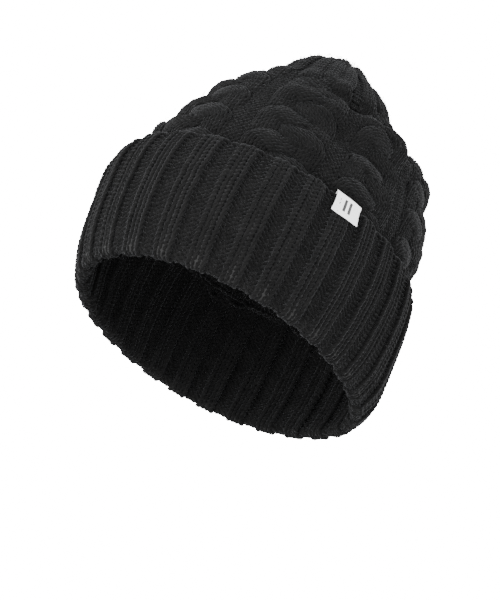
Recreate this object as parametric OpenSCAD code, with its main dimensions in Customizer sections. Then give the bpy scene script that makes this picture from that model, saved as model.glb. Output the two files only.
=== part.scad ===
// Cuffed cable-knit beanie, standing on the lower fold of its cuff.
// Origin: centre of the head opening, in the plane that the fold stands on.
// +Z runs up the hat to the closed crown, -Y is the front, +X is the wearer's left.

/* [Cuff] */
// Outer width of the cuff at its widest, ear to ear
cuff_w = 179; // [165:1:195]
// Outer length of the cuff at its widest, forehead to nape
cuff_l = 218; // [200:1:235]
// Height of the turned-up cuff
cuff_h = 83; // [75:1:95]
// Height at which the cuff is widest
cuff_widest = 50; // [40:1:60]
// How far the cuff draws in at its lower fold, as a share of its width
fold_draw = 0.085; // [0.04:0.005:0.1]
// How far the cuff draws in at its upper edge, as a share of its width
edge_draw = 0.055; // [0.03:0.005:0.07]

/* [Crown] */
// Height of the whole hat above the lower fold
hat_h = 198; // [180:1:210]
// Width of the crown where it leaves the cuff, as a share of the cuff's width
crown_fill = 0.9; // [0.87:0.005:0.91]
// Roundness of the crown: a higher number is boxier
crown_power = 1.9; // [1.5:0.05:2.2]
// How far the top leans towards the wearer's left
lean_x = 8; // [0:1:12]
// How far the top leans back
lean_y = 9; // [0:1:16]

/* [Knit] */
// Thickness of one layer of ribbed knit
rib_t = 4.6; // [3.6:0.1:5]
// Thickness of the cable knit
cable_t = 7; // [5:0.5:9]
// Free space between the cuff and the band under it
layer_gap = 1.2; // [1.1:0.1:1.6]
// Height of the cast-on edge that finishes the cuff
edge_h = 3; // [2.6:0.1:4]
// Thickness of the gathering yarn
yarn_d = 2.4; // [2:0.1:2.8]
// Width of the seams
seam_w = 6; // [4:1:8]

/* [Labels] */
// Width of the woven label along the cuff's edge
label_w = 20; // [15:1:30]
// Drop of the woven label below the cuff's edge, outside and inside alike
label_h = 16; // [10:1:22]
// Thickness of the woven label
label_t = 0.6; // [0.4:0.1:0.6]
// Direction of the woven label, counted from the front towards the wearer's left
label_turn = 70; // [30:1:100]
// Width of the care label
care_w = 28; // [20:1:35]
// Drop of the care label
care_h = 24; // [20:1:28]

/* [Hidden] */

charcoal = [0.06, 0.06, 0.065];
white = [0.9, 0.9, 0.88];

// Steps round the hat, and up each layer
TURN_STEPS = 72;
RISE_STEPS = 10;
CROWN_STEPS = 20;

// Both layers and the space between them turn over the fold, which is a half round
fold_r = rib_t + layer_gap / 2;
// Flat ring under the fold that the hat stands on, measured across
foot_w = 3;
// Height at which the ribbed band ends and the cable knit starts, hidden by the cuff
band_top = cuff_h - 5;
// Radius of the opening that the gathering yarn closes at the very top
eye_r = 4.2;
// Size of the knot's loops
knot_size = 1.2;
// Clearance that keeps a sewn-on piece just off the knit that it lies on
skin = 0.12;
// The band and the crown lie this far inside the cuff's outer face
band_in = rib_t + layer_gap;
// Radius by which distances along the cuff are turned into angles, near the ears
side_radius = cuff_l / 2 * 0.93;
// The same for distances across the nape, inside the cuff
nape_radius = cuff_w / 2 * 0.93 - band_in;
// Height of the seams' ridge inside the hat
ridge_h = 2;
// Thickness of the labels' thread, and the gap between two stitches
thread_d = 0.5;
stitch_gap = 0.8;

function sq(v) = v * v;

// Radius of the outer face at height z, as a share of the cuff's widest radius
function cuff_share(z) =
    z < cuff_widest
        ? 1 - fold_draw * sq((cuff_widest - z) / cuff_widest)
        : 1 - edge_draw * sq((z - cuff_widest) / (cuff_h - cuff_widest));
function crown_share(t) =
    crown_fill * (1 - t ^ crown_power) ^ (1 / crown_power);

// The hat's centre line leans a little, and less near the brim
function centre(z) =
    let (t = sq(max(0, z) / hat_h))
    [lean_x * t, lean_y * t];

// A point at turn a from the front, height z, half axes rx and ry
function round_point(a, z, rx, ry) =
    let (c = centre(z))
    [c.x + rx * sin(a), c.y - ry * cos(a), z];

// A point of the cuff or band: depth d inwards from the cuff's outer face
function cuff_point(a, z, d) =
    let (k = cuff_share(z))
    round_point(a, z, cuff_w / 2 * k - d, cuff_l / 2 * k - d);

// The crown's outline: a station s from 0, where it meets the band, to 1, at the eye
eye_t = (1 - ((2 * eye_r / cuff_w) / crown_fill) ^ crown_power) ^ (1 / crown_power);
function crown_t(s) = eye_t * sin(90 * s);
function crown_z(s) = band_top + (hat_h - band_top) * crown_t(s) / eye_t;
function crown_rise(s) = crown_z(min(1, s + 0.01)) - crown_z(max(0, s - 0.01));
function crown_run(s) =
    (crown_share(crown_t(max(0, s - 0.01))) - crown_share(crown_t(min(1, s + 0.01))))
    * (cuff_w + cuff_l) / 4;

// A point of the crown: depth d inwards, square to its outline
function crown_point(a, s, d) =
    let (k = crown_share(crown_t(s)), up = crown_rise(s), run = crown_run(s),
         len = norm([up, run]), out = d * up / len, down = d * run / len)
    round_point(a, crown_z(s) - down, cuff_w / 2 * k - out, cuff_l / 2 * k - out);

// Two triangles for the patch between two rows of points, given by their index
function patch(p, q, r, s) = [[p, q, r], [p, r, s]];

// A closed layer round the whole hat: rings follow its section, first to last and back to first
module loop_solid(rings) {
    rows = len(rings);
    turns = len(rings[0]);
    points = [for (ring = rings) each ring];
    faces = [
        for (i = [0:rows - 1], j = [0:turns - 1])
            let (i2 = (i + 1) % rows, j2 = (j + 1) % turns)
            each patch(i * turns + j, i * turns + j2, i2 * turns + j2, i2 * turns + j)
    ];
    polyhedron(points, faces);
}

// A sheet with two faces: front and back are grids of points of the same size
module sheet_solid(front, back) {
    rows = len(front);
    cols = len(front[0]);
    size = rows * cols;
    points = concat([for (row = front) each row], [for (row = back) each row]);
    inner = [
        for (i = [0:rows - 2], j = [0:cols - 2])
            let (p = i * cols + j)
            each concat(
                patch(p, p + cols, p + cols + 1, p + 1),
                patch(size + p, size + p + 1, size + p + cols + 1, size + p + cols))
    ];
    sides = [
        for (i = [0:rows - 2])
            let (p = i * cols, q = i * cols + cols - 1)
            each concat(
                patch(p, size + p, size + p + cols, p + cols),
                patch(q, q + cols, size + q + cols, size + q))
    ];
    ends = [
        for (j = [0:cols - 2])
            let (p = j, q = (rows - 1) * cols + j)
            each concat(
                patch(p, p + 1, size + p + 1, size + p),
                patch(q, size + q, size + q + 1, q + 1))
    ];
    polyhedron(points, concat(inner, sides, ends));
}

turns = [for (j = [0:TURN_STEPS - 1]) 360 * j / TURN_STEPS];

// Cable-knit crown, open only at the eye at its top
module crown_shell() {
    stations = [for (i = [0:CROWN_STEPS]) i / CROWN_STEPS];
    outside = [for (s = stations) [for (a = turns) crown_point(a, s, 0)]];
    inside = [
        for (i = [CROWN_STEPS:-1:0])
            [for (a = turns) crown_point(a, stations[i], cable_t)]
    ];
    color(charcoal) loop_solid(concat(outside, inside));
}

// Heights from a to b in RISE_STEPS steps
function rise(a, b) = [for (i = [0:RISE_STEPS]) a + (b - a) * i / RISE_STEPS];

// A ring at height z and depth d in the cuff
function cuff_ring(z, d) = [for (a = turns) cuff_point(a, z, d)];

// Ribbed band under the cuff, from the fold up to the crown
module inner_band() {
    heights = rise(fold_r, band_top);
    outside = [for (z = heights) cuff_ring(z, band_in)];
    inside = [for (i = [RISE_STEPS:-1:0]) cuff_ring(heights[i], band_in + rib_t)];
    color(charcoal) loop_solid(concat(outside, inside));
}

// The fold's section, as depth and height, from the outer face round to the inner one
fold_angle = acos(foot_w / 2 / fold_r);
function fold_section() =
    let (drop = fold_r / sin(fold_angle), steps = 5)
    concat(
        [for (i = [0:steps]) let (b = fold_angle * i / steps)
            [fold_r - fold_r * cos(b), fold_r - drop * sin(b)]],
        [for (i = [steps:-1:0]) let (b = fold_angle * i / steps)
            [fold_r + fold_r * cos(b), fold_r - drop * sin(b)]]);

// Turned-up ribbed cuff with the fold at its foot
module turned_up_cuff() {
    heights = rise(fold_r, cuff_h - edge_h);
    outside = [for (i = [RISE_STEPS:-1:1]) cuff_ring(heights[i], 0)];
    fold = [for (p = fold_section()) [for (a = turns)
        let (k = cuff_share(fold_r), q = round_point(a, fold_r,
             cuff_w / 2 * k - p.x, cuff_l / 2 * k - p.x))
        [q.x, q.y, p.y]]];
    inside = [for (z = heights) cuff_ring(z, rib_t)];
    color(charcoal) loop_solid(concat(inside, outside, fold));
}

// Rounded cast-on edge along the top of the cuff
module cuff_edge() {
    half = rib_t / 2;
    base = cuff_h - edge_h;
    section = concat(
        [[rib_t, base]],
        [[0, base]],
        [for (b = [0:30:180]) [half - half * cos(b), cuff_h - half + half * sin(b)]]);
    color(charcoal) loop_solid([
        for (p = section) [for (a = turns)
            let (q = cuff_point(a, base, p.x))
            [q.x, q.y, p.y]]
    ]);
}

// Across a seam the ridge is a low arch: share of its height for a step from -1 to 1
function arch(u) = 0.35 + 0.65 * cos(80 * u);
seam_across = [-1, -0.6, -0.2, 0.2, 0.6, 1];

// Angle at the nape, across a seam, at a radius
function nape(u, radius) = 180 + u * seam_w / 2 / radius * 180 / PI;

// Centre-back seam inside the crown
module crown_seam() {
    stations = [for (i = [1:CROWN_STEPS - 5]) i / CROWN_STEPS];
    function at(s, u, d) =
        crown_point(nape(u, cuff_w / 2 * crown_share(crown_t(s))), s, d);
    front = [for (s = stations) [for (u = seam_across) at(s, u, cable_t + skin + ridge_h * arch(u))]];
    back = [for (s = stations) [for (u = seam_across) at(s, u, cable_t + skin)]];
    color(charcoal) sheet_solid(front, back);
}

// Centre-back seam inside the band
module band_seam() {
    base = band_in + rib_t + skin;
    heights = rise(fold_r + 1, band_top - 1);
    front = [for (z = heights) [for (u = seam_across)
        cuff_point(nape(u, nape_radius), z, base + ridge_h * arch(u))]];
    back = [for (z = heights) [for (u = seam_across) cuff_point(nape(u, nape_radius), z, base)]];
    color(charcoal) sheet_solid(front, back);
}

// Flat seam of the cuff, hidden between the cuff and the band
module cuff_seam() {
    thick = layer_gap - 4 * skin;
    heights = rise(fold_r + 1, cuff_h - edge_h - 1);
    front = [for (z = heights) [for (u = seam_across)
        cuff_point(nape(u, nape_radius), z, rib_t + 2 * skin + thick)]];
    back = [for (z = heights) [for (u = seam_across)
        cuff_point(nape(u, nape_radius), z, rib_t + 2 * skin)]];
    color(charcoal) sheet_solid(front, back);
}

// Ring of yarn that draws the crown's last stitches together
module gathering_yarn() {
    r = yarn_d / 2;
    long = cuff_l / cuff_w;
    color(charcoal) loop_solid([
        for (b = [0:45:315])
            let (reach = r + skin + r * cos(b))
            [for (a = [0:15:345]) round_point(a, hat_h, eye_r - reach, eye_r * long - reach)
                + [0, 0, r * sin(b) - cable_t / 2]]
    ]);
}

// Centre line of the knot, a trefoil: b runs once round it
function knot_path(b) =
    knot_size * [sin(b) + 2 * sin(2 * b), cos(b) - 2 * cos(2 * b), -1.2 * sin(3 * b)];

// Knot of the gathering yarn, just under the eye
module gathering_knot() {
    r = yarn_d * 0.4;
    drop = cable_t + r + 1.2 * knot_size + 2 * skin;
    place = concat(centre(hat_h), [hat_h - drop]);
    color(charcoal) loop_solid([
        for (b = [0:8:352])
            let (way = knot_path(b + 1) - knot_path(b - 1), side = cross(way, [0, 0, 1]),
                 along = side / norm(side), up = cross(along, way) / norm(way))
            [for (c = [0:45:315]) place + knot_path(b) + r * (cos(c) * along + sin(c) * up)]
    ]);
}

// The woven label's path over the edge, as depth and height: down outside, over, down inside
function label_path(out) =
    let (low = cuff_h - label_h, base = cuff_h - edge_h, half = rib_t / 2, r = half + out)
    concat(
        [for (i = [0:4]) let (z = low + (base - low) * i / 4) [-out, z]],
        [for (b = [0:30:180]) [half - r * cos(b), cuff_h - half + r * sin(b)]],
        [for (i = [4:-1:0]) let (z = low + (base - low) * i / 4) [rib_t + out, z]]);

// A point of the label: out is its height off the knit, u runs along the cuff from -1 to 1
function label_row(out, columns) = [
    for (p = label_path(out)) [for (u = columns)
        let (a = label_turn + u * label_w / 2 / side_radius * 180 / PI,
             z = min(p.y, cuff_h - edge_h), q = cuff_point(a, z, p.x))
        [q.x, q.y, p.y]]
];

// Woven label folded over the cuff's edge
module woven_label() {
    columns = [for (i = [-4:4]) i / 4];
    color(white) sheet_solid(label_row(skin + label_t, columns), label_row(skin, columns));
}

// A short straight stitch from one point to another
module stitch(from, to, thick) {
    way = to - from;
    length = norm(way);
    translate(from)
    rotate([0, acos(way.z / length), atan2(way.y, way.x)])
    cylinder(d = thick, h = length, $fn = 24);
}

// Stitches through the label and the cuff, along the label's lower edge
module label_stitches() {
    count = 7;
    margin = 1.5;
    pitch = (label_w - 2 * margin) / count;
    z = cuff_h - label_h + margin;
    out = 2 * skin + label_t + thread_d / 2;
    function at(along) = cuff_point(label_turn + along / side_radius * 180 / PI, z, -out);
    color(white)
    for (i = [0:count - 1])
        let (start = (i - count / 2) * pitch + stitch_gap / 2)
        stitch(at(start), at(start + pitch - stitch_gap), thread_d);
}

// The care label lies on the band's inner face, just beside the seam
care_in = band_in + rib_t + 2 * skin;
care_t = 0.8;
// Height of its middle, and its distance from the seam
care_z = 63;
care_gap = 1;
function care_angle(along) = 180 - (seam_w / 2 + care_gap + along) / nape_radius * 180 / PI;

// Folded care label, sewn in along its top
module care_label() {
    heights = rise(care_z - care_h / 2, care_z + care_h / 2);
    columns = [for (i = [0:8]) care_w * i / 8];
    front = [for (z = heights) [for (u = columns) cuff_point(care_angle(u), z, care_in + care_t)]];
    back = [for (z = heights) [for (u = columns) cuff_point(care_angle(u), z, care_in)]];
    color(white) sheet_solid(back, front);
}

// Stitches along the top of the care label
module care_label_stitches() {
    count = 8;
    margin = 1;
    pitch = (care_w - 2 * margin) / count;
    z = care_z + care_h / 2 - 1.5 * margin;
    depth = care_in + care_t + skin + thread_d / 2;
    color(white)
    for (i = [0:count - 1])
        let (start = margin + i * pitch + stitch_gap / 2)
        stitch(cuff_point(care_angle(start), z, depth),
               cuff_point(care_angle(start + pitch - stitch_gap), z, depth), thread_d);
}

crown_shell();
inner_band();
turned_up_cuff();
cuff_edge();
crown_seam();
band_seam();
cuff_seam();
gathering_yarn();
gathering_knot();
woven_label();
label_stitches();
care_label();
care_label_stitches();
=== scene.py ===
"""A cuffed cable-knit beanie, knitted stitch by stitch round its CAD frame.

Lengths are in metres and angles in radians unless a name ends in _DEG.
A turn counts from the wearer's front (-Y) towards the wearer's left (+X).
"""

import math

import bpy
import numpy as np
from mathutils import Matrix, Vector


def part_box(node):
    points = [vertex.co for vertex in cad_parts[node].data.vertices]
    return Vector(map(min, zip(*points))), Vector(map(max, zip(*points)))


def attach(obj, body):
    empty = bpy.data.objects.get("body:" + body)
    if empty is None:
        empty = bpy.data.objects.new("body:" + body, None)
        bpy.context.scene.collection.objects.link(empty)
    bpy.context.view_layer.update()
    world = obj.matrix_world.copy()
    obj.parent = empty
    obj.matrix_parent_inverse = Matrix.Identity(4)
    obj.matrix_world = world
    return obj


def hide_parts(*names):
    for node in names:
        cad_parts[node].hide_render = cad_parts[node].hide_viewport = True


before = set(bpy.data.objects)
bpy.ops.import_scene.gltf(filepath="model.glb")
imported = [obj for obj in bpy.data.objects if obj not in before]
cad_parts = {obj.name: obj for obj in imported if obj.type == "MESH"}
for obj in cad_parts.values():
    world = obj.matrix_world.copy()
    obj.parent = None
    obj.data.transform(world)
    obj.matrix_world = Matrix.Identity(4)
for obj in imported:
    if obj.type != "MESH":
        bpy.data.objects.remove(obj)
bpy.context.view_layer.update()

MM = 0.001
TAU = 2 * math.pi


# ---------------------------------------------------------------- sizes that the frame gives

def box_size(node):
    low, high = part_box(node)
    return high - low


CUFF_W = box_size("turned_up_cuff").x
CUFF_L = box_size("turned_up_cuff").y
CUFF_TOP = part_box("cuff_edge")[1].z
BAND_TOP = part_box("inner_band")[1].z
HAT_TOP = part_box("crown_shell")[1].z
FOLD_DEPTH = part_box("inner_band")[0].z

# The outline's own numbers, the same as in the CAD source
CUFF_WIDEST = 50 * MM
FOLD_DRAW = 0.085           # share by which the cuff draws in at its foot
EDGE_DRAW = 0.055           # and at its top edge
CROWN_FILL = 0.9
CROWN_POWER = 1.9
LEAN = (8 * MM, 9 * MM)     # how far the top leans to the wearer's left and to the back
RIB_T = 4.6 * MM
EYE_R = 4.2 * MM

# ---------------------------------------------------------------- the knit

STEPS = 12                  # points along one stitch
SIDES = 6                   # points round the yarn
YARN_R = 1.3 * MM
CABLE_YARN_R = 1.1 * MM

# Ribbed fabric: two knit wales, two purl wales
RIB_REPEATS = 28
RIB_PATTERN = (1, 1, -1, -1)
RIB_WALES = RIB_REPEATS * len(RIB_PATTERN)
RIB_ROW = 2.9 * MM
RIB_MID = -0.7 * MM         # the fabric's middle, counted outwards from the middle of its layer
RIB_LIFT = 1.8 * MM         # knit wales stand this far out and purl wales lie this far in
RIB_PHASE = 0.35            # where the first wale starts, in wales
RIB_SPREAD = 0.12           # how much wider the knit wales are than the mean
RIB_SHOULDER = 0.5 * MM     # the outer legs of a raised rib stand this far over its middle

# Cabled fabric: plaits of three strands with purl wales between them
PLAITS = 9
PLAIT_TURN_DEG = 37.2       # direction of the middle of one plait
STRAND_WALES = 5            # at most
STRAND_WALE = 3.4 * MM
STRAND_SWING = 14.5 * MM
STRAND_WIDTH = 21 * MM
STRAND_STRAIGHT = 18 * MM   # width of a strand near the top, where the three run side by side
STRAND_PERIOD = 63 * MM
STRAND_DEPTH = 2.5 * MM     # how far a strand passes over or under the others
STRAND_DOME = 1.0 * MM
STRAND_TUCK = 2.2 * MM      # how far its outermost stitches turn down
STRAND_TILT = 0.45          # share of a strand's slope that its rows follow
CROSSING = 0.15             # part of the period that one crossing takes
CROSSING_HUMP = 0.085       # half the length of its rise, also as a part of the period
CROSSING_HEIGHT = 116 * MM  # height at which the first strand crosses over to the wearer's left
CABLE_END = (150 * MM, 172 * MM)    # heights between which the plaits run out into straight columns
CABLE_ROW = 3.2 * MM
CABLE_MID = -3.9 * MM
PURL_WALES = 4
PURL_MID = -5.2 * MM
PURL_WALE = 3.7 * MM
TOP_SHARE = 0.34            # the plaits end where the crown has narrowed to this share
TOP_MID = -2.2 * MM
GROUND_DEPTH = 6.3 * MM     # depth of the sheet under the crown's stitches
GROUND_LIFT = 0.35 * MM     # the ribbed sheet lies this far outwards from the middle of its stitches
GROUND_RELIEF = 0.9         # and follows this share of the ribs' height
GROUND_HALF = 0.15 * MM     # half the thickness of each sheet
JOIN_RUN = 4 * MM           # past the band's top the ribbed fabric goes on this far, up and in
LINING_DEPTH = 6.9 * MM     # depth of the rows that the crown shows inside

CABLE_INSIDE = LINING_DEPTH + 0.9 * MM      # depth of the crown's seam
RIB_INSIDE = 2 * MM         # how far inside the band's middle its seam and the care label lie

# Seams: the pitch of the stitches sewn over them and half their width
SEAM_PITCH = 4 * MM
SEAM_HALF = 2.2 * MM

# Cast-on edge
EDGE_V = -0.6 * MM
EDGE_WIND = 1.05 * MM       # its two yarns wind round each other at this radius
EDGE_YARN_R = 1.0 * MM

# Woven label: direction of its middle, half its width as a turn, and its run up, over and down
LABEL_TURN_DEG = 69.7
LABEL_HALF = 0.094
LABEL_GAP = 0.9 * MM        # its inner face's distance from the cuff's smooth outline
LABEL_DROP = 13.5 * MM      # how far each leaf hangs below the cuff's edge
LABEL_PEAK = 2.0 * MM       # how far its fold stands over the cuff's edge
LABEL_DRAW = 0.15           # share by which the leaf behind is narrower, so that it stays hidden
LABEL_WAIST = 0.07          # share by which the front leaf is narrower halfway down
half_path = [(-LABEL_GAP, -LABEL_DROP), (-LABEL_GAP, -2 * MM), (0.5 * MM - LABEL_GAP, 0.3 * MM),
             (RIB_T / 2 - 0.5 * MM, LABEL_PEAK - 0.3 * MM)]
LABEL_PATH = half_path + [(RIB_T / 2, LABEL_PEAK)] + [(RIB_T - depth, z) for depth, z in half_path[::-1]]
LABEL_DEPTH = np.array([depth for depth, z in LABEL_PATH])
LABEL_Z = CUFF_TOP + np.array([z for depth, z in LABEL_PATH])
LABEL_LENGTH = np.concatenate([[0], np.cumsum(np.hypot(np.diff(LABEL_DEPTH), np.diff(LABEL_Z)))])
LABEL_RUN = LABEL_LENGTH[-1]
LABEL_FRONT = LABEL_RUN / 2

# Care label, in two leaves
CARE_W = 28 * MM
CARE_H = 22 * MM
CARE_FOOT = 53.5 * MM       # height at which its leaves turn into the fold
CARE_R = 0.5 * MM           # radius of that fold

# Sewing thread of both labels
THREAD_R = 0.16 * MM
THREAD_LIFT = 0.5 * MM
THREAD_SUNK = 0.35 * MM

# Gathering yarn: its radius, the radius at which its two strands wind, and its knot's place under the eye
GATHER_R = 0.85 * MM
GATHER_WIND = 0.75 * MM
KNOT_DROP = 9 * MM

random = np.random.default_rng(7)


# ---------------------------------------------------------------- the hat's outline

def smooth(t):
    t = np.clip(t, 0, 1)
    return t * t * (3 - 2 * t)


def cuff_share(z):
    """Radius of the cuff's outer face at height z, as a share of its widest radius."""
    low = 1 - FOLD_DRAW * ((CUFF_WIDEST - z) / CUFF_WIDEST) ** 2
    high = 1 - EDGE_DRAW * ((z - CUFF_WIDEST) / (CUFF_TOP - CUFF_WIDEST)) ** 2
    return np.where(z < CUFF_WIDEST, low, high)


def round_point(turn, z, rx, ry):
    """A point of the leaning oval with these radii at height z."""
    lean = (np.maximum(z, 0) / HAT_TOP) ** 2
    return np.stack([
        LEAN[0] * lean + rx * np.sin(turn), LEAN[1] * lean - ry * np.cos(turn), z + 0 * turn], -1)


def even_turn(share):
    """Direction at a share of the way round, in equal lengths along the oval."""
    flat = (CUFF_L - CUFF_W) / (CUFF_L + CUFF_W)
    angle = TAU * share
    return angle + flat / 2 * np.sin(2 * angle)


FOLD_R = FOLD_DEPTH - RIB_T / 2
CUFF_RUN = CUFF_TOP - RIB_T / 2 - FOLD_DEPTH
BAND_START = CUFF_RUN + math.pi * FOLD_R
RIB_RUN = BAND_START + BAND_TOP - FOLD_DEPTH


def fold_turn(v):
    """Angle by which the fabric has turned over the fold at v."""
    return np.clip((v - CUFF_RUN) / FOLD_R, 0, math.pi)


def cuff_point(turn, z, share, depth):
    """A point at a depth under the cuff's outer face, whose radius there is a share of its widest."""
    depth = depth - swell(SWELL, turn, z)
    return round_point(turn, z, CUFF_W / 2 * share - depth, CUFF_L / 2 * share - depth)


def rib_point(turn, v, out):
    """A point of the ribbed fabric. v runs down the cuff, round the fold and up the band."""
    bend = fold_turn(v)
    inside = np.maximum(v - BAND_START, 0)
    depth = FOLD_DEPTH - (FOLD_R + out) * np.cos(bend)
    z = FOLD_DEPTH + np.maximum(CUFF_RUN - v, 0) + inside - (FOLD_R + out) * np.sin(bend)
    return cuff_point(turn, z, cuff_share(np.maximum(z, FOLD_DEPTH)), depth)


def crown_share(t):
    return CROWN_FILL * (1 - np.clip(t, 0, 1) ** CROWN_POWER) ** (1 / CROWN_POWER)


EYE_T = (1 - ((2 * EYE_R / CUFF_W) / CROWN_FILL) ** CROWN_POWER) ** (1 / CROWN_POWER)
MEAN_R = (CUFF_W + CUFF_L) / 4

# The crown's outline, from its foot inside the cuff to the eye and in over it, and the length along it
STATIONS = np.linspace(0, 1, 401)
CLOSING = np.linspace(0, 1, 13)[1:]
DIMPLE = 2.2 * MM           # how far the eye's middle lies under the hat's top
OUTLINE_Z = np.concatenate([
    BAND_TOP + (HAT_TOP - BAND_TOP) * np.sin(math.pi / 2 * STATIONS), HAT_TOP - DIMPLE * CLOSING ** 2])
EYE_SHARE = float(crown_share(EYE_T))
OUTLINE_SHARE = np.concatenate([
    crown_share(EYE_T * np.sin(math.pi / 2 * STATIONS)), EYE_SHARE * (1 - CLOSING)])
OUTLINE_LENGTH = np.concatenate([[0], np.cumsum(np.hypot(
    np.diff(OUTLINE_Z), np.diff(OUTLINE_SHARE) * MEAN_R))])
CROWN_RUN = OUTLINE_LENGTH[-1]
EYE_RUN = OUTLINE_LENGTH[len(STATIONS) - 1]

# Dents and folds of the slack crown: turn in degrees, height in mm, reach along the turn in degrees,
# reach in height and lift, both in mm
SLOUCH = [
    (128, 171, 34, 10, -12),
    (133, 190, 30, 12, -5),
    (108, 190, 60, 9, -5),
    (100, 200, 60, 8, 5),
    (-50, 186, 50, 10, -5),
    (-47, 170, 40, 14, -12),
    (-10, 156, 30, 12, -1.5),
    (-46, 125, 30, 9, -7),
    (-46, 110, 34, 12, 3),
    (-60, 150, 34, 9, -9),
    (134, 120, 26, 8, 3),
    (134, 138, 26, 12, 2.5),
    (118, 148, 26, 9, 4),
    (76, 144, 20, 6, 6),
    (46, 136, 20, 6, 5),
    (62, 155, 34, 6, -6),
    (104, 166, 22, 5, -3),
    (140, 96, 30, 8, -2),
    (136, 108, 26, 12, 4),
    (66, 122, 24, 6, -3),
    (46, 92, 18, 8, -3),
    (15, 172, 36, 8, -4),
    (-130, 140, 34, 10, 2.5),
    (-140, 165, 30, 9, -3),
    (180, 118, 26, 8, 3),
    (40, 84, 720, 6, -1.6),
]
# The same for the cuff, which bags a little at the back and stands off the crown at the front
SWELL = [
    (-46, 72, 40, 18, 4.5),
    (142, 14, 30, 22, 4),
    (133, 84, 26, 14, 0.8),
    (-140, 20, 30, 20, 2),
]
# The peak stands a little higher and further forward than the CAD outline, from this height up
PEAK_FROM = 135 * MM
PEAK_SHIFT = (-3 * MM, -8.5 * MM, 8 * MM)
PEAK_POWER = 1.8


def swell(places, turn, z):
    """How far a list of dents and folds lifts the fabric."""
    lift = 0 * z
    for at, height, reach, rise, size in places:
        away = (turn - math.radians(at) + math.pi) % TAU - math.pi
        lift = lift + size * MM * np.exp(
            -(away / math.radians(reach)) ** 2 - ((z - height * MM) / (rise * MM)) ** 2)
    return lift


def crown_point(turn, v, out):
    """A point of the crown at length v along its outline, lifted square to it.

    Below the crown's foot, where v is negative, it goes straight on down."""
    below = np.minimum(v, 0)
    v = np.clip(v, 0, CROWN_RUN)
    z = np.interp(v, OUTLINE_LENGTH, OUTLINE_Z) + below
    share = np.interp(v, OUTLINE_LENGTH, OUTLINE_SHARE)
    step = 1 * MM
    up = np.interp(v + step, OUTLINE_LENGTH, OUTLINE_Z) - np.interp(v - step, OUTLINE_LENGTH, OUTLINE_Z)
    run = (np.interp(v - step, OUTLINE_LENGTH, OUTLINE_SHARE)
           - np.interp(v + step, OUTLINE_LENGTH, OUTLINE_SHARE)) * MEAN_R
    length = np.hypot(up, run)
    out = out + swell(SLOUCH, turn, z)
    wide = out * up / length
    here = round_point(turn, z + out * run / length, CUFF_W / 2 * share + wide, CUFF_L / 2 * share + wide)
    peak = np.clip((here[..., 2:] - PEAK_FROM) / (HAT_TOP - PEAK_FROM), 0, 1) ** PEAK_POWER
    return here + peak * np.array(PEAK_SHIFT)


# ---------------------------------------------------------------- yarn

def unit(v):
    return v / np.maximum(np.linalg.norm(v, axis=-1, keepdims=True), 1e-12)


class Yarn:
    """Tubes of yarn, gathered here and then made into one mesh."""

    def __init__(self):
        self.points, self.quads, self.caps = [], [], []
        self.yarn_uv, self.bake_uv = [], []
        self.count = 0
        self.tubes = 0

    def sweep(self, paths, normals, radius, sides=SIDES, closed=False):
        """paths and normals are (tubes, steps, 3); radius is a number or (tubes, steps)."""
        tubes, steps = paths.shape[:2]
        if closed:
            way = np.roll(paths, -1, 1) - np.roll(paths, 1, 1)
        else:
            way = np.gradient(paths, axis=1)
        way = unit(way)
        side = unit(np.cross(way, normals))
        lift = np.cross(side, way)
        round_yarn = TAU * np.arange(sides) / sides
        size = np.broadcast_to(radius, (tubes, steps))[..., None, None]
        rings = paths[:, :, None] + size * (
            -np.cos(round_yarn)[:, None] * lift[:, :, None] + np.sin(round_yarn)[:, None] * side[:, :, None])
        spans = steps if closed else steps - 1
        t, i, k = np.meshgrid(np.arange(tubes), np.arange(spans), np.arange(sides), indexing="ij")
        i2, k2 = (i + 1) % steps, (k + 1) % sides

        def index(a, b):
            return self.count + (t * steps + a) * sides + b

        corners = [index(i, k), index(i2, k), index(i2, k2), index(i, k2)]
        self.quads.append(np.stack(corners, -1).reshape(-1, 4))
        if not closed:
            first = self.count + (np.arange(tubes) * steps)[:, None] * sides + np.arange(sides)
            self.caps.append(first)
            self.caps.append((first + (steps - 1) * sides)[:, ::-1])
        gap = np.linalg.norm(np.diff(paths, axis=1), axis=-1)
        length = np.concatenate([np.zeros((tubes, 1)), np.cumsum(gap, 1)], 1)
        if closed:
            last = length[:, -1:] + np.linalg.norm(paths[:, :1] - paths[:, -1:], axis=-1)
            length = np.concatenate([length, last], 1)
        u0, u1 = length[t, i] / MM, length[t, i + 1] / MM
        v0, v1 = k / sides, (k + 1) / sides
        self.yarn_uv.append(np.stack([u0, v0, u1, v0, u1, v1, u0, v1], -1).reshape(-1, 4, 2))
        strip = self.tubes + t
        b0, b1 = i / spans, (i + 1) / spans
        s0, s1 = strip + 0.06 + 0.88 * v0, strip + 0.06 + 0.88 * v1
        self.bake_uv.append(np.stack([b0, s0, b1, s0, b1, s1, b0, s1], -1).reshape(-1, 4, 2))
        self.points.append(rings.reshape(-1, 3))
        self.count += tubes * steps * sides
        self.tubes += tubes

    def piece(self, name, material, slot_name):
        quads = np.concatenate(self.quads)
        loops = [quads.ravel()]
        sizes = [np.full(len(quads), 4)]
        yarn_uv = [np.concatenate(self.yarn_uv).reshape(-1, 2)]
        bake_uv = [np.concatenate(self.bake_uv).reshape(-1, 2)]
        for cap in self.caps:
            loops.append(cap.ravel())
            sizes.append(np.full(len(cap), cap.shape[1]))
            yarn_uv.append(np.zeros((cap.size, 2)))
            bake_uv.append(np.zeros((cap.size, 2)))
        bake = np.concatenate(bake_uv)
        bake[:, 1] /= self.tubes
        return make_mesh(
            name, np.concatenate(self.points), np.concatenate(loops), np.concatenate(sizes),
            {"OFBake": bake, "yarn": np.concatenate(yarn_uv)}, material)


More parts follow.
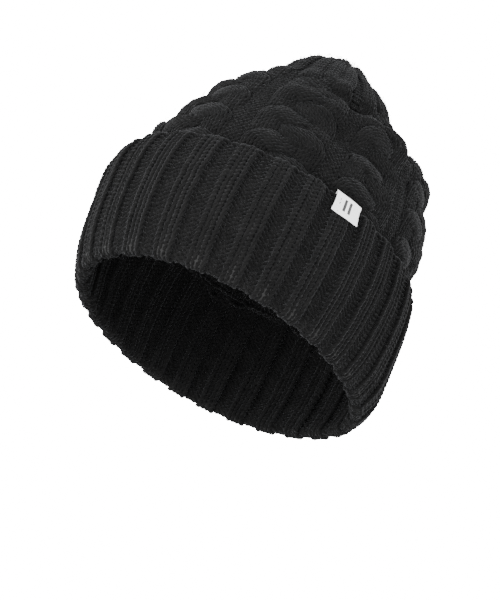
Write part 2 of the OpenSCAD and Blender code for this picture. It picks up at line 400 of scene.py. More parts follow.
def make_mesh(name, points, loops, sizes, uv_maps, material):
    mesh = bpy.data.meshes.new(name)
    mesh.vertices.add(len(points))
    mesh.vertices.foreach_set("co", points.astype(np.float32).ravel())
    mesh.loops.add(len(loops))
    mesh.loops.foreach_set("vertex_index", loops.astype(np.int32))
    mesh.polygons.add(len(sizes))
    mesh.polygons.foreach_set("loop_start", (np.cumsum(sizes) - sizes).astype(np.int32))
    mesh.polygons.foreach_set("use_smooth", np.ones(len(sizes), bool))
    mesh.update(calc_edges=True)
    for uv_name, values in uv_maps.items():
        layer = mesh.uv_layers.new(name=uv_name)
        layer.data.foreach_set("uv", values.astype(np.float32).ravel())
    mesh.materials.append(material)
    piece = bpy.data.objects.new(name, mesh)
    bpy.context.scene.collection.objects.link(piece)
    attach(piece, "root")
    return piece


def jitter(rows, columns, at, size):
    """Small random offsets, one a stitch, joined smoothly along each row; at is in stitches."""
    table = random.uniform(-size, size, (rows, columns + 1))
    table[:, -1] = table[:, 0]
    low = np.floor(at).astype(int) % columns
    part = smooth(at - np.floor(at))
    return table[:, low] * (1 - part) + table[:, low + 1] * part


LOOP_REACH = 0.82       # half the height of a loop, in rows
KNIT_LEAN = 0.2         # how far the legs of a knit loop lean, in wales
PURL_LEAN = 0.2
LOOP_DEPTH = 0.6 * MM
PURL_DEPTH = 0.95 * MM
CROWN_LOOPS = 0.85      # depth of the loops in plaits and purl columns, as a share of the rib's


def loop_shape(at, lean=KNIT_LEAN):
    """A row of loops: at counts stitches, and 0 is the middle of the first loop's head.

    Gives the place along the row in stitches, the height in rows and the depth, from -1 to 1."""
    angle = TAU * at
    return at + lean * np.sin(2 * angle), LOOP_REACH * np.cos(angle), -np.cos(2 * angle)


def placed(surface, turn, v, out):
    """Points on a surface and the directions that stand out from it."""
    here = surface(turn, v, out)
    return here, unit(surface(turn, v, out + 0.3 * MM) - here)


def along_rib(at):
    """Direction at a count of wales round the ribbed fabric."""
    return even_turn((at + RIB_PHASE) / RIB_WALES)


def rib_wave(at):
    """The rib's own phase, 0 in the middle of the raised wales."""
    return TAU * (at - 0.5) / len(RIB_PATTERN)


def rib_rows(first, last):
    """Closed rows of ribbed fabric, as yarn."""
    rows = np.arange(first, last)[:, None]
    at = np.arange(RIB_WALES * STEPS)[None, :] / STEPS
    kinds = np.array(RIB_PATTERN * RIB_REPEATS)
    below = np.floor(at).astype(int)
    change = smooth((at - below - 0.5) / 0.4 + 0.5)
    kind = kinds[below % RIB_WALES] * (1 - change) + kinds[(below + 1) % RIB_WALES] * change
    lean = np.where(kind > 0, KNIT_LEAN, PURL_LEAN)
    along, height, depth = loop_shape(at, lean)
    count = len(rows)
    rib = rib_wave(along)
    along = along + RIB_SPREAD * np.sin(rib) * 2 / math.pi + jitter(count, RIB_WALES, at[0], 0.05)
    v_row = (rows + 0.5) * RIB_ROW
    # the ribs flatten where the fabric turns over the fold
    flat = 1 - 0.6 * np.exp(-((v_row - CUFF_RUN - math.pi / 2 * FOLD_R) / (9 * MM)) ** 2)
    v = v_row + height * (1 + jitter(count, RIB_WALES, at[0], 0.07)) * RIB_ROW
    shoulder = -RIB_SHOULDER * np.cos(2 * rib) * (kind > 0)
    relief = np.where(kind > 0, LOOP_DEPTH, PURL_DEPTH)
    out = RIB_MID + kind * (RIB_LIFT * flat + depth * relief) + shoulder * flat
    out = out + jitter(count, RIB_WALES, at[0], 0.13 * MM) * flat
    path, normal = placed(rib_point, along_rib(along), v, out)
    yarn = Yarn()
    yarn.sweep(path, normal, YARN_R * (1 + jitter(count, RIB_WALES, at[0], 0.05)), closed=True)
    return yarn


PITCH = 1 / PLAITS
BASE_ROUND = math.pi * MEAN_R * 2 * CROWN_FILL      # length round the foot of the crown


def height_at(v):
    return np.interp(v, OUTLINE_LENGTH, OUTLINE_Z)


def cable_fade(v):
    """1 where the plaits are full, 0 near the top, where their strands run straight."""
    return 1 - smooth((height_at(v) - CABLE_END[0]) / (CABLE_END[1] - CABLE_END[0]))


def strand_course(strand, v):
    """Across, out and tilt of a strand's middle at length v.

    In one period a strand crosses over the middle one, goes under to the other side, rests there
    for a third of the period, and comes back the same way."""
    start = np.interp(CROSSING_HEIGHT, OUTLINE_Z, OUTLINE_LENGTH)
    half = CROSSING / 2
    cycle = ((v - start) / STRAND_PERIOD + strand / 3 + half) % 1 - half
    across, out, slope = -1.0, 0.0, 0.0
    for place, way, side in ((0, 1, 1), (1 / 6, 1, -1), (1 / 2, -1, 1), (2 / 3, -1, -1)):
        done = np.clip((cycle - place) / CROSSING + 0.5, 0, 1)
        across = across + way * smooth(done)
        slope = slope + way * 6 * done * (1 - done) / (CROSSING * STRAND_PERIOD)
        away = (cycle - place + 0.5) % 1 - 0.5
        out = out + side * np.exp(-(away / CROSSING_HUMP) ** 2)
    fade = cable_fade(v)
    across = fade * STRAND_SWING * across + (1 - fade) * (strand - 1) * STRAND_STRAIGHT
    return across, STRAND_DEPTH * out * fade, STRAND_TILT * np.arctan(fade * STRAND_SWING * slope)


def share_round(v):
    """Length round the crown at v, as a share of that at its foot."""
    return np.interp(v, OUTLINE_LENGTH, OUTLINE_SHARE) / CROWN_FILL


# The row at which the plaits have run out and closed rows take over, and the last row at the eye
TOP_ROW = int(np.interp(-TOP_SHARE, -OUTLINE_SHARE / CROWN_FILL, OUTLINE_LENGTH) / CABLE_ROW)
LAST_ROW = int(CROWN_RUN / CABLE_ROW)


def cable_rows(plait):
    """The three strands of one plait, row by row."""
    yarn = Yarn()
    middle = PLAIT_TURN_DEG / 360 + plait * PITCH
    strands = np.arange(3)[:, None]
    for row in range(-1, TOP_ROW):
        v_row = (row + 0.5) * CABLE_ROW
        narrow = share_round(v_row)
        fade = cable_fade(v_row)
        width = fade * STRAND_WIDTH + (1 - fade) * STRAND_STRAIGHT
        wales = int(np.clip(round(width * narrow / STRAND_WALE), 2, STRAND_WALES))
        at = np.linspace(-0.5, wales - 0.5, wales * STEPS + 1)
        along, height, depth = loop_shape(at)
        side = np.clip((along + 0.5) / wales, 0, 1) - 0.5 + jitter(3, wales, at + 0.5, 0.01)
        edge = np.clip(np.abs(2 * side), 0, 1)
        v = v_row + height * CABLE_ROW * (1 + jitter(3, wales, at + 0.5, 0.08))
        across, out, tilt = strand_course(strands, v)
        x = across + side * width * np.cos(tilt)
        v_at = v - side * width * np.sin(tilt)
        dome = STRAND_DOME * (1 - 2 * edge ** 2.4) * math.sqrt(narrow)
        tuck = -STRAND_TUCK * smooth((edge - 0.86) / 0.14)
        lift = TOP_MID + (CABLE_MID - TOP_MID) * fade + out + dome + tuck + depth * LOOP_DEPTH * CROWN_LOOPS
        lift = lift + jitter(3, wales, at + 0.5, 0.12 * MM)
        path, normal = placed(crown_point, even_turn(middle + x / BASE_ROUND), v_at, lift)
        size = CABLE_YARN_R * (0.72 + 0.28 * math.sqrt(narrow))
        yarn.sweep(path, normal, size * (1 + jitter(3, wales, at + 0.5, 0.05)))
    return yarn


def purl_rows(first, last):
    """The purl wales between the plaits."""
    yarn = Yarn()
    gutters = np.arange(first, last)[:, None]
    count = last - first
    for row in range(-1, TOP_ROW):
        v_row = (row + 0.5) * CABLE_ROW
        fade = cable_fade(v_row)
        wales = int(round(PURL_WALES * fade + 2 * (1 - fade)))
        at = np.linspace(-0.6, wales - 0.4, wales * STEPS + 1)
        along, height, depth = loop_shape(at, PURL_LEAN)
        x = (along[None, :] - (wales - 1) / 2) * PURL_WALE
        v = v_row + height * CABLE_ROW * (1 + jitter(count, wales + 1, at + 0.6, 0.08))
        lift = PURL_MID + 1.2 * MM * (1 - fade) - depth * PURL_DEPTH * CROWN_LOOPS + 0 * x
        turn = even_turn(PLAIT_TURN_DEG / 360 + (gutters + 0.5) * PITCH + x / BASE_ROUND)
        path, normal = placed(crown_point, turn, v, lift)
        yarn.sweep(path, normal, CABLE_YARN_R * (0.75 + 0.25 * share_round(v_row)))
    return yarn


def round_rows(first, last, mid, columns, wale, steps, sides):
    """Closed rows of the crown, from one row to another, with columns that stand out a little."""
    yarn = Yarn()
    for row in range(first, last):
        v_row = (row + 0.5) * CABLE_ROW
        wales = PLAITS * max(1, int(share_round(v_row) * BASE_ROUND / wale / PLAITS))
        at = np.arange(wales * steps)[None, :] / steps
        along, height, depth = loop_shape(at)
        v = v_row + height * CABLE_ROW * (1 + jitter(1, wales, at[0], 0.1))
        share = PLAIT_TURN_DEG / 360 + along / wales
        out = mid + depth * LOOP_DEPTH + jitter(1, wales, at[0], 0.15 * MM)
        out = out + columns * np.cos(TAU * PLAITS * (share - PLAIT_TURN_DEG / 360))
        path, normal = placed(crown_point, even_turn(share), v, out)
        yarn.sweep(path, normal, CABLE_YARN_R * min(1, 0.7 + share_round(v_row)), sides=sides, closed=True)
    return yarn


# ---------------------------------------------------------------- sheets

def sheet_mesh(name, surface, turns, runs, outs, material, closed=True):
    """A thin sheet with two faces: surface(turn, v, out) over a grid of turns and runs."""
    turn, v = np.meshgrid(turns, runs, indexing="xy")
    rows, cols = turn.shape
    faces = [surface(turn, v, out) for out in outs]
    points = np.concatenate([f.reshape(-1, 3) for f in faces])
    size = rows * cols
    spans = cols if closed else cols - 1
    i, j = np.meshgrid(np.arange(rows - 1), np.arange(spans), indexing="ij")
    a, b = i * cols + j, i * cols + (j + 1) % cols
    c, d = a + cols, b + cols
    quads = [np.stack([a, b, d, c], -1).reshape(-1, 4), np.stack([a, c, d, b], -1).reshape(-1, 4) + size]
    u0, u1 = j / spans, (j + 1) / spans
    v0, v1 = i / (rows - 1), (i + 1) / (rows - 1)
    front = np.stack([u0, v0, u1, v0, u1, v1, u0, v1], -1).reshape(-1, 4, 2)
    back = np.stack([u0, v0, u0, v1, u1, v1, u1, v0], -1).reshape(-1, 4, 2)
    uv = [front * (0.48, 1), back * (0.48, 1) + (0.5, 0)]
    rims = []
    if closed:
        for shift, way in ((0, 1), ((rows - 1) * cols, -1)):
            p = np.arange(cols) + shift
            q = (np.arange(cols) + 1) % cols + shift
            rims.append(np.stack([p, p + size, q + size, q], -1)[:, ::way])
    else:
        edge = np.concatenate([
            np.arange(cols - 1), np.arange(rows - 1) * cols + cols - 1,
            (rows - 1) * cols + np.arange(cols - 1, 0, -1), np.arange(rows - 1, 0, -1) * cols])
        following = np.roll(edge, -1)
        rims.append(np.stack([edge, edge + size, following + size, following], -1))
    for rim in rims:
        quads.append(rim)
        uv.append(np.zeros((len(rim), 4, 2)) + (0.98, 0.5))
    quads = np.concatenate(quads)
    uv = np.concatenate(uv).reshape(-1, 2)
    return make_mesh(
        name, points, quads.ravel(), np.full(len(quads), 4), {"OFBake": uv}, material)


# ---------------------------------------------------------------- materials

def new_material(name):
    material = bpy.data.materials.new(name)
    material.use_nodes = True
    nodes = material.node_tree.nodes
    return material, nodes, material.node_tree.links, nodes["Principled BSDF"]


def math_node(nodes, links, operation, first, second=None):
    node = nodes.new("ShaderNodeMath")
    node.operation = operation
    for socket, value in zip(node.inputs, (first, second)):
        if value is None:
            continue
        if isinstance(value, (int, float)):
            socket.default_value = value
        else:
            links.new(value, socket)
    return node.outputs[0]


def ramp_node(nodes, links, value, stops):
    node = nodes.new("ShaderNodeValToRGB")
    while len(node.color_ramp.elements) < len(stops):
        node.color_ramp.elements.new(0.5)
    for element, (place, colour) in zip(node.color_ramp.elements, stops):
        element.position = place
        element.color = (*colour, 1)
    links.new(value, node.inputs["Fac"])
    return node.outputs["Color"]


def noise_node(nodes, links, scale, detail):
    node = nodes.new("ShaderNodeTexNoise")
    node.inputs["Scale"].default_value = scale
    node.inputs["Detail"].default_value = detail
    links.new(nodes.new("ShaderNodeTexCoord").outputs["Object"], node.inputs["Vector"])
    return node.outputs["Fac"]


def add_bump(nodes, links, shader, height, strength, distance):
    node = nodes.new("ShaderNodeBump")
    node.inputs["Strength"].default_value = strength
    node.inputs["Distance"].default_value = distance
    links.new(height, node.inputs["Height"])
    links.new(node.outputs["Normal"], shader.inputs["Normal"])


def uv_axes(nodes, links, layer):
    uv = nodes.new("ShaderNodeUVMap")
    uv.uv_map = layer
    split = nodes.new("ShaderNodeSeparateXYZ")
    links.new(uv.outputs["UV"], split.inputs[0])
    return split.outputs[0], split.outputs[1]


PLIES = 3
PLY_TURN_MM = 7             # length of yarn in which the plies wind round once


def yarn_material(name, dark, light, ply=0.55):
    """Spun yarn: plies wound round each other, and fine fibres along them, with painted shade in the grooves
    between the plies.
    """
    material, nodes, links, shader = new_material(name)
    u, v = uv_axes(nodes, links, "yarn")
    wound = math_node(
        nodes, links, "ADD", math_node(nodes, links, "MULTIPLY", u, TAU / PLY_TURN_MM * PLIES),
        math_node(nodes, links, "MULTIPLY", v, TAU * PLIES))
    plies = math_node(nodes, links, "SINE", wound)
    fibres = noise_node(nodes, links, 2600, 3)
    mottle = noise_node(nodes, links, 120, 4)
    shade = math_node(
        nodes, links, "ADD", math_node(nodes, links, "MULTIPLY", mottle, 0.6),
        math_node(nodes, links, "MULTIPLY", fibres, 0.4))
    # the plies' wave also makes the colour lighter on each ply's crest and darker in the grooves between
    # plies, rising and falling with the bump: painted shade
    shade = math_node(nodes, links, "ADD", math_node(nodes, links, "MULTIPLY", plies, 0.12), shade)
    links.new(ramp_node(nodes, links, shade, [(0.3, dark), (0.72, light)]), shader.inputs["Base Color"])
    height = math_node(
        nodes, links, "ADD", math_node(nodes, links, "MULTIPLY", plies, ply),
        math_node(nodes, links, "MULTIPLY", fibres, 0.9))
    add_bump(nodes, links, shader, height, 0.5, 0.25 * MM)
    shader.inputs["Roughness"].default_value = 0.88
    shader.inputs["Specular IOR Level"].default_value = 0.07
    shader.inputs["Sheen Weight"].default_value = 0.06
    shader.inputs["Sheen Roughness"].default_value = 0.45
    shader.inputs["Sheen Tint"].default_value = (0.85, 0.87, 0.92, 1)
    return material


def ground_material(name):
    """The dark inside of the fabric, seen between the stitches."""
    material, nodes, links, shader = new_material(name)
    noise = noise_node(nodes, links, 900, 2)
    shades = [(0.3, (0.004, 0.004, 0.004)), (0.7, (0.008, 0.008, 0.008))]
    links.new(ramp_node(nodes, links, noise, shades), shader.inputs["Base Color"])
    add_bump(nodes, links, shader, noise, 1, 0.3 * MM)
    shader.inputs["Roughness"].default_value = 0.95
    return material


def label_material(name, printed):
    """White satin weave. The printed one has two plain dark bars on its front leaf."""
    material, nodes, links, shader = new_material(name)
    u, v = uv_axes(nodes, links, "OFBake")
    warp = math_node(nodes, links, "SINE", math_node(nodes, links, "MULTIPLY", u, TAU * 110))
    weft = math_node(nodes, links, "SINE", math_node(nodes, links, "MULTIPLY", v, TAU * 90))
    weave = math_node(nodes, links, "ADD", warp, math_node(nodes, links, "MULTIPLY", weft, 0.5))
    cloth = ramp_node(nodes, links, weave, [(0, (0.94, 0.94, 0.945)), (1, (0.97, 0.97, 0.97))])
    if printed:
        high = math_node(nodes, links, "COMPARE", v, 0.22)
        high.node.inputs[2].default_value = 0.12
        bars = None
        for place in (0.195, 0.29):
            wide = math_node(nodes, links, "COMPARE", u, place)
            wide.node.inputs[2].default_value = 0.024
            bar = math_node(nodes, links, "MULTIPLY", wide, high)
            bars = bar if bars is None else math_node(nodes, links, "MAXIMUM", bars, bar)
        mix = nodes.new("ShaderNodeMix")
        mix.data_type = "RGBA"
        links.new(bars, mix.inputs["Factor"])
        links.new(cloth, mix.inputs["A"])
        mix.inputs["B"].default_value = (0.007, 0.007, 0.008, 1)
        cloth = mix.outputs["Result"]
    links.new(cloth, shader.inputs["Base Color"])
    add_bump(nodes, links, shader, weave, 0.25, 0.05 * MM)
    shader.inputs["Roughness"].default_value = 0.5
    shader.inputs["Sheen Weight"].default_value = 0.2
    return material


LABEL = label_material("label_satin", True)
CARE = label_material("care_label_satin", False)
THREAD = yarn_material("white_thread", (0.75, 0.75, 0.76), (0.92, 0.92, 0.92), 0.2)
# the fuzz fibres are several times lighter than the yarn they come from: the yarn's own charcoal plus a
# painted highlight that stands in for the lit fuzz halo
FIBRE_PAINTED_HIGHLIGHT = yarn_material("fibre", (0.01, 0.01, 0.01), (0.025, 0.025, 0.025), 0)
YARN = yarn_material("charcoal_yarn", (0.0023, 0.0023, 0.0023), (0.0068, 0.0067, 0.0067))
GROUND = ground_material("fabric_inside")


# ---------------------------------------------------------------- the hat

def build_rib():
    rows = int(RIB_RUN / RIB_ROW)
    cuff_rows = int(CUFF_RUN / RIB_ROW)
    parts = [("cuff_rows", 0, cuff_rows, 4), ("fold_and_band_rows", cuff_rows, rows + 1, 4)]
    for name, first, last, groups in parts:
        edges = np.linspace(first, last, groups + 1).astype(int)
        for number, (a, b) in enumerate(zip(edges[:-1], edges[1:])):
            rib_rows(a, b).piece(f"{name}_{number + 1}", YARN, "rib_knit")
    columns = RIB_REPEATS * 12
    at = RIB_WALES * np.arange(columns) / columns

    def fabric(at, v, out):
        relief = GROUND_RELIEF * RIB_LIFT * np.tanh(2 * np.cos(rib_wave(at)))
        lift = RIB_MID + GROUND_LIFT * np.cos(fold_turn(v)) + relief
        band = rib_point(along_rib(at), v, out + lift)
        # past the band's top the fabric leans in and joins the crown's
        crown = crown_point(along_rib(at), np.maximum(v - RIB_RUN, 0), -GROUND_DEPTH - out)
        return band + (crown - band) * smooth((v - RIB_RUN) / JOIN_RUN)[..., None]

    ground = sheet_mesh(
        "rib_fabric", fabric, at, np.linspace(0, RIB_RUN + JOIN_RUN, 96), (GROUND_HALF, -GROUND_HALF),
        GROUND)
    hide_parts("turned_up_cuff", "inner_band")


def build_edge():
    """The cast-on edge: two yarns wound round each other along the cuff's top."""
    at = np.arange(RIB_WALES * STEPS)[None, :] / STEPS
    wound = math.pi * at + np.array([[0], [math.pi]])
    out = RIB_MID + 0.7 * RIB_LIFT * np.cos(rib_wave(at)) + EDGE_WIND * np.cos(wound)
    v = EDGE_V + EDGE_WIND * np.sin(wound) + jitter(2, RIB_WALES, at[0], 0.2 * MM)
    path, normal = placed(rib_point, along_rib(at), v, out + jitter(2, RIB_WALES, at[0], 0.15 * MM))
    yarn = Yarn()
    yarn.sweep(path, normal, EDGE_YARN_R, closed=True)
    edge = yarn.piece("cast_on_edge", YARN, "rib_knit")
    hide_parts("cuff_edge")


# At the nape a length across the seam is its turn times the oval's half width there
NAPE_R = CUFF_W / 2 * 0.97 - 2 * FOLD_DEPTH


def nape_offset(radius, across):
    """Turn beside the nape, at a length across it towards the wearer's left."""
    return math.pi - across / radius


def seam_yarn(surface, first, last, depth):
    """A seam up the nape: two edges of the fabric side by side, and a yarn sewn over and over them."""
    yarn = Yarn()
    span = last - first
    v = np.linspace(first, last, int(span / (0.8 * MM)))[None, :]
    stitch = TAU * v / (3.5 * MM)
    for side in (-1, 1):
        across = side * 0.9 * MM + 0.25 * MM * np.sin(stitch + side)
        path, normal = placed(surface, nape_offset(NAPE_R, across), v, -depth - 0.25 * MM * np.cos(stitch))
        yarn.sweep(path, normal, 1.0 * MM)
    count = int(span / SEAM_PITCH)
    steps = 14
    over = np.arange(count * steps + 1)[None, :] / steps
    v = first + over / count * span
    across = SEAM_HALF * np.cos(TAU * over) + jitter(1, count, over[0], 0.25 * MM)
    lift = 1.1 * MM * np.sin(TAU * over)
    path, normal = placed(surface, nape_offset(NAPE_R, across), v, -depth - lift)
    yarn.sweep(path, normal, 0.55 * MM, sides=5)
    return yarn


def build_seams():
    crown = seam_yarn(crown_point, 6 * MM, 0.8 * CROWN_RUN, CABLE_INSIDE)
    made = [crown.piece("crown_nape_seam", YARN, "seam_yarn")]
    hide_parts("crown_seam")

    def band_inside(turn, v, out):
        return rib_point(turn, v, -out)

    band = seam_yarn(band_inside, BAND_START - 2 * MM, RIB_RUN - 2 * MM, RIB_INSIDE)
    made.append(band.piece("band_nape_seam", YARN, "seam_yarn"))
    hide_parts("band_seam")
    # the cuff's seam lies flat between the two layers
    yarn = Yarn()
    stitches = 16
    over = np.linspace(0, stitches, stitches * 10 + 1)[None, :]
    v = 5 * MM + (CUFF_RUN - 8 * MM) * over / stitches
    path, normal = placed(rib_point, nape_offset(NAPE_R, 2.4 * MM * np.cos(math.pi * over)), v,
                          -RIB_T / 2 - 0.9 * MM + 0 * v)
    yarn.sweep(path, normal, 0.45 * MM, sides=5)
    made.append(yarn.piece("cuff_nape_seam", YARN, "seam_yarn"))
    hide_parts("cuff_seam")


def build_gathering():
    """The yarn that draws the crown's last stitches together, its knot and its two ends."""
    steps = 96
    round_eye = TAU * np.arange(steps)[None, :] / steps
    wound = 8 * round_eye + np.array([[0], [math.pi]])
    v = EYE_RUN + GATHER_WIND * np.sin(wound)
    out = TOP_MID - 1.2 * MM + GATHER_WIND * np.cos(wound)
    path, normal = placed(crown_point, round_eye + 0 * wound, v, out)
    ring = Yarn()
    ring.sweep(path, normal, GATHER_R, closed=True)
    ring = ring.piece("gathering_ring", YARN, "seam_yarn")
    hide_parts("gathering_yarn")

    middle = np.array(crown_point(np.zeros(1), np.full(1, CROWN_RUN), np.full(1, TOP_MID)))[0]
    middle = middle - np.array([0, 0, KNOT_DROP])
    b = TAU * np.arange(90) / 90
    loops = 1.25 * MM * np.stack([
        np.sin(b) + 2 * np.sin(2 * b), np.cos(b) - 2 * np.cos(2 * b), -1.2 * np.sin(3 * b)], -1) + middle
    knot = Yarn()
    knot.sweep(loops[None], np.zeros_like(loops)[None] + (0.02, 0.03, 1), GATHER_R, closed=True)
    t = np.linspace(0, 1, 30)
    for way, length in ((0.6, 26 * MM), (2.9, 19 * MM)):
        ends = middle + np.stack([
            3 * MM * np.cos(way) + length * 0.35 * t * np.cos(way + 1.1 * t),
            3 * MM * np.sin(way) + length * 0.35 * t * np.sin(way + 1.1 * t),
            -length * 0.9 * t ** 1.4 + 2 * MM * np.sin(5 * t)], -1)
        knot.sweep(ends[None], np.zeros_like(ends)[None] + (math.cos(way + 1.5), math.sin(way + 1.5), 0.3),
                   GATHER_R * (1 - 0.25 * t ** 6)[None])
    knot = knot.piece("gathering_knot_and_ends", YARN, "seam_yarn")
    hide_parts("gathering_knot")


def label_point(turn, s, out):
    """A point of the label: s runs up its front, over the cuff's edge and down behind it."""
    across = (turn - math.radians(LABEL_TURN_DEG)) / LABEL_HALF
    down = np.clip(1 - s / LABEL_FRONT, 0, 1)
    turn = turn - LABEL_DRAW * LABEL_HALF * across * smooth(np.interp(s, LABEL_LENGTH, LABEL_DEPTH) / RIB_T)
    turn = turn - LABEL_WAIST * LABEL_HALF * across * np.sin(math.pi * down)
    curl = 0.9 * MM * down ** 2 * across ** 4 + 0.25 * MM * np.sin(2.6 * across + 0.7) * (0.4 + down)
    step = 0.3 * MM
    over = np.interp(s + step, LABEL_LENGTH, LABEL_DEPTH) - np.interp(s - step, LABEL_LENGTH, LABEL_DEPTH)
    rise = np.interp(s + step, LABEL_LENGTH, LABEL_Z) - np.interp(s - step, LABEL_LENGTH, LABEL_Z)
    lift = (out + curl) / np.hypot(over, rise)
    depth = np.interp(s, LABEL_LENGTH, LABEL_DEPTH) - lift * rise
    z = np.interp(s, LABEL_LENGTH, LABEL_Z) + lift * over + 0.5 * MM * across * down
    return cuff_point(turn, z, cuff_share(np.minimum(z, CUFF_TOP - 3 * MM)), depth)


def thread(surface, ends, name):
    """Short stitches of thread, each with both ends sunk into what it holds; ends are (turn, v) pairs."""
    t = np.linspace(0, 1, 9)
    yarn = Yarn()
    for (turn0, v0), (turn1, v1) in ends:
        turn = turn0 + (turn1 - turn0) * t
        v = v0 + (v1 - v0) * t
        out = THREAD_LIFT * np.sin(math.pi * t) ** 0.5 - THREAD_SUNK
        path, normal = placed(surface, turn[None], v[None], out[None])
        yarn.sweep(path, normal, THREAD_R, sides=5)
    return yarn.piece(name, THREAD, "label_thread")


def build_woven_label():
    turns = math.radians(LABEL_TURN_DEG) + LABEL_HALF * np.linspace(-1, 1, 25)
    runs = np.linspace(0, LABEL_RUN, 49)
    label = sheet_mesh("woven_label_folded", label_point, turns[::-1], runs, (0.2 * MM, -0.2 * MM),
                       LABEL, closed=False)
    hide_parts("woven_label")
    ends = []
    for side in (-1, 1):
        for i in range(5):
            v = (1.6 + 2.6 * i) * MM
            turn = math.radians(LABEL_TURN_DEG) + side * LABEL_HALF * 0.92
            ends.append(((turn, v), (turn, v + 2 * MM)))
    stitches = thread(label_point, ends, "label_sewing_thread")
    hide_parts("label_stitches")


def care_point(turn, s, out):
    """A point of the care label: two leaves inside the band, joined by a fold at their foot."""
    bend = np.clip((s - CARE_H) / CARE_R, 0, math.pi)
    back = np.maximum(s - CARE_H - math.pi * CARE_R, 0)
    front = np.maximum(CARE_H - s, 0)
    z = CARE_FOOT + front + back - CARE_R * np.sin(bend)
    off = 1.2 * MM * (1 - smooth((z - CARE_FOOT) / CARE_H)) ** 1.5
    lift = RIB_INSIDE + 0.5 * MM + off + CARE_R * (1 + np.cos(bend)) + out * np.cos(bend)
    return rib_point(turn, BAND_START + z - FOLD_DEPTH, lift)


def build_care_label():
    near, far = (nape_offset(NAPE_R, across) for across in (4 * MM, 4 * MM + CARE_W))
    turns = np.linspace(near, far, 21)
    runs = np.concatenate([
        np.linspace(0, CARE_H, 14), CARE_H + CARE_R * math.pi * np.linspace(0, 1, 9)[1:-1],
        CARE_H + CARE_R * math.pi + np.linspace(0, CARE_H, 14)])
    label = sheet_mesh("care_label_folded", care_point, turns, runs, (0.12 * MM, -0.12 * MM),
                       CARE, closed=False)
    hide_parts("care_label")
    count = 8
    ends = []
    for i in range(count):
        a, b = ((near + (far - near) * (i + k) / count) for k in (0.15, 0.85))
        ends.append(((a, 1.5 * MM), (b, 1.5 * MM)))
    stitches = thread(care_point, ends, "care_label_sewing_thread")
    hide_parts("care_label_stitches")


def build_fuzz(count, surface, run, low, high, name, slot_name):
    """Loose fibre ends that stand out of the knit."""
    turn = random.uniform(0, TAU, count)[:, None]
    v = random.uniform(*run, count)[:, None]
    t = np.linspace(0, 1, 5)[None, :]
    length = random.uniform(1.5, 4.5, count)[:, None] * MM
    way = random.uniform(0, TAU, count)[:, None]
    bend = random.uniform(-1.2, 1.2, count)[:, None]
    rise = random.uniform(low, high, count)[:, None]
    reach = length * t
    across = reach * np.cos(way + bend * t)
    along = reach * np.sin(way + bend * t)
    out = -0.3 * MM + rise * np.sin(math.pi * 0.75 * t)
    path, normal = placed(surface, turn + across / (CUFF_W / 2), v + along, out)
    yarn = Yarn()
    yarn.sweep(path, normal, 0.055 * MM * (1.1 - t) + 0 * path[..., 0], sides=3)
    # their material is lighter than the yarn's: painted highlight of the fuzz
    return yarn.piece(name, FIBRE_PAINTED_HIGHLIGHT, slot_name)


def build_crown():
    made = [cable_rows(plait).piece(f"plait_{plait + 1}", YARN, "cable_knit") for plait in range(PLAITS)]
    for number, (first, last) in enumerate(((0, 3), (3, 6), (6, 9))):
        made.append(purl_rows(first, last).piece(f"purl_columns_{number + 1}", YARN, "cable_knit"))
    top = round_rows(TOP_ROW, LAST_ROW, TOP_MID, 0.9 * MM, 4 * MM, STEPS, SIDES)
    made.append(top.piece("crown_top_rows", YARN, "cable_knit"))
    thirds = np.linspace(-1, LAST_ROW - 1, 4).astype(int)
    for number, (first, last) in enumerate(zip(thirds[:-1], thirds[1:])):
        back = round_rows(first, last, -LINING_DEPTH, 0, 4.4 * MM, 8, 5)
        made.append(back.piece(f"crown_inner_rows_{number + 1}", YARN, "cable_knit"))
    turns = TAU * np.arange(180) / 180
    ground = sheet_mesh(
        "crown_fabric", crown_point, turns, np.linspace(0, CROWN_RUN, 90),
        (-GROUND_DEPTH + GROUND_HALF, -GROUND_DEPTH - GROUND_HALF), GROUND)
    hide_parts("crown_shell")


# ---------------------------------------------------------------- floor, light and camera

CAMERA_TURN_DEG = 43.75
CAMERA_RISE_DEG = -27.15
CAMERA_ROLL_DEG = 24
CAMERA_DISTANCE = 1.461
CAMERA_LENS = 147.3
LOOK_MIDDLE = Vector((0, 0, 92.5 * MM))
LOOK_RIGHT = -13.3 * MM
LOOK_UP = -46.9 * MM


def look_axes():
    turn, rise, roll = (math.radians(a) for a in (CAMERA_TURN_DEG, CAMERA_RISE_DEG, CAMERA_ROLL_DEG))
    back = Vector((math.sin(turn) * math.cos(rise), -math.cos(turn) * math.cos(rise), math.sin(rise)))
    right = Vector((math.cos(turn), math.sin(turn), 0))
    up = back.cross(right)
    return (right * math.cos(roll) + up * math.sin(roll), up * math.cos(roll) - right * math.sin(roll), back)


def add_camera():
    right, up, back = look_axes()
    place = LOOK_MIDDLE + back * CAMERA_DISTANCE
    ahead = (LOOK_MIDDLE + right * LOOK_RIGHT + up * LOOK_UP - place).normalized()
    side = ahead.cross(up).normalized()
    top = side.cross(ahead)
    data = bpy.data.cameras.new("camera")
    data.lens = CAMERA_LENS
    camera = bpy.data.objects.new("camera", data)
    camera.matrix_world = Matrix.Translation(place) @ Matrix((side, top, -ahead)).transposed().to_4x4()
    bpy.context.scene.collection.objects.link(camera)
    bpy.context.scene.camera = camera


def add_light(name, direction, distance, size, power):
    data = bpy.data.lights.new(name, "AREA")
    data.size = size
    data.energy = power
    light = bpy.data.objects.new(name, data)
    direction = Vector(direction).normalized()
    light.location = LOOK_MIDDLE + direction * distance
    light.rotation_mode = "QUATERNION"
    light.rotation_quaternion = direction.to_track_quat("Z", "Y")
    bpy.context.scene.collection.objects.link(light)


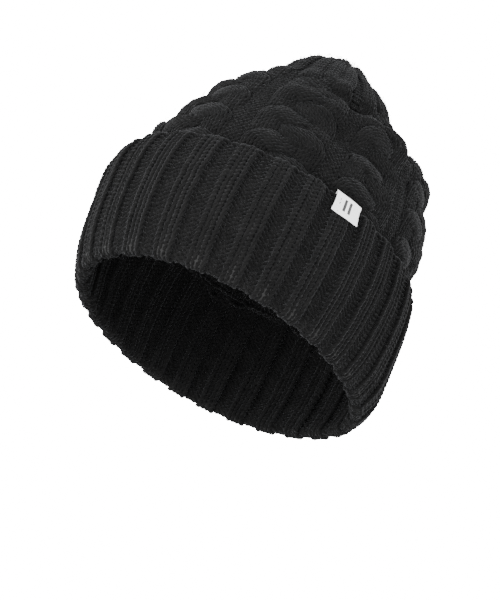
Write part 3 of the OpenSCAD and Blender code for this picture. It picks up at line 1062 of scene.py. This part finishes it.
def add_lights():
    right, up, back = look_axes()
    add_light("key", back * 0.75 - right * 0.65 + up * 0.42, 1.3, 0.8, 30)
    add_light("fill", back * 0.8 + right * 0.8 + up * 0.1, 1.5, 1.0, 13)
    add_light("low", back * 0.9 - right * 0.1 - up * 0.22, 1.7, 0.8, 18)
    add_light("rim_left", -back * 0.6 - right * 1.0 + up * 0.15, 1.2, 0.6, 12)
    add_light("rim_right", -back * 0.7 + right * 0.9 + up * 0.15, 1.2, 0.6, 6)
    world = bpy.data.worlds.new("studio")
    world.use_nodes = True
    nodes, links = world.node_tree.nodes, world.node_tree.links
    light = nodes["Background"]
    light.inputs["Color"].default_value = (1, 1, 1, 1)
    light.inputs["Strength"].default_value = 1.75
    seen = nodes.new("ShaderNodeBackground")
    seen.inputs["Color"].default_value = (1, 1, 1, 1)
    seen.inputs["Strength"].default_value = 20
    mix = nodes.new("ShaderNodeMixShader")
    links.new(nodes.new("ShaderNodeLightPath").outputs["Is Camera Ray"], mix.inputs["Fac"])
    links.new(light.outputs[0], mix.inputs[1])
    links.new(seen.outputs[0], mix.inputs[2])
    links.new(mix.outputs[0], nodes["World Output"].inputs["Surface"])
    bpy.context.scene.world = world


FLOOR_R = 0.9


def floor_material():
    """Pale floor that thins out towards its rim and isn't there from below."""
    material, nodes, links, shader = new_material("pale_floor")
    shader.inputs["Base Color"].default_value = (0.9, 0.9, 0.9, 1)
    shader.inputs["Roughness"].default_value = 0.9
    place = nodes.new("ShaderNodeTexCoord").outputs["Object"]
    far = nodes.new("ShaderNodeVectorMath")
    far.operation = "LENGTH"
    links.new(place, far.inputs[0])
    fade = nodes.new("ShaderNodeMapRange")
    fade.interpolation_type = "SMOOTHSTEP"
    fade.inputs["From Min"].default_value = 0.25
    fade.inputs["From Max"].default_value = FLOOR_R
    links.new(far.outputs["Value"], fade.inputs["Value"])
    below = nodes.new("ShaderNodeNewGeometry").outputs["Backfacing"]
    rays = nodes.new("ShaderNodeLightPath")
    unseen = math_node(nodes, links, "MAXIMUM", rays.outputs["Is Shadow Ray"], rays.outputs["Is Diffuse Ray"])
    clear = math_node(nodes, links, "MAXIMUM", fade.outputs["Result"],
                      math_node(nodes, links, "MAXIMUM", below, unseen))
    glass = nodes.new("ShaderNodeBsdfTransparent")
    mix = nodes.new("ShaderNodeMixShader")
    links.new(clear, mix.inputs["Fac"])
    links.new(shader.outputs[0], mix.inputs[1])
    links.new(glass.outputs[0], mix.inputs[2])
    links.new(mix.outputs[0], nodes["Material Output"].inputs["Surface"])
    return material


def add_floor():
    sides = 24
    angles = [TAU * i / sides for i in range(sides)]
    corners = [(FLOOR_R * math.cos(a), FLOOR_R * math.sin(a), -0.6 * MM) for a in angles]
    mesh = bpy.data.meshes.new("floor")
    mesh.from_pydata(corners, [], [list(range(sides))])
    mesh.materials.append(floor_material())
    floor = bpy.data.objects.new("floor", mesh)
    bpy.context.scene.collection.objects.link(floor)


add_camera()
add_floor()
add_lights()
build_rib()
build_crown()
build_edge()
build_seams()
build_gathering()
build_woven_label()
build_care_label()
build_fuzz(5000, rib_point, (0, CUFF_RUN + 2 * FOLD_R), 0.6 * MM + RIB_T / 2, 1.6 * MM + RIB_T / 2,
           "cuff_fibres", "rib_knit")
build_fuzz(6000, crown_point, (5 * MM, 0.97 * CROWN_RUN), 0.6 * MM, 1.8 * MM,
           "crown_fibres", "cable_knit")
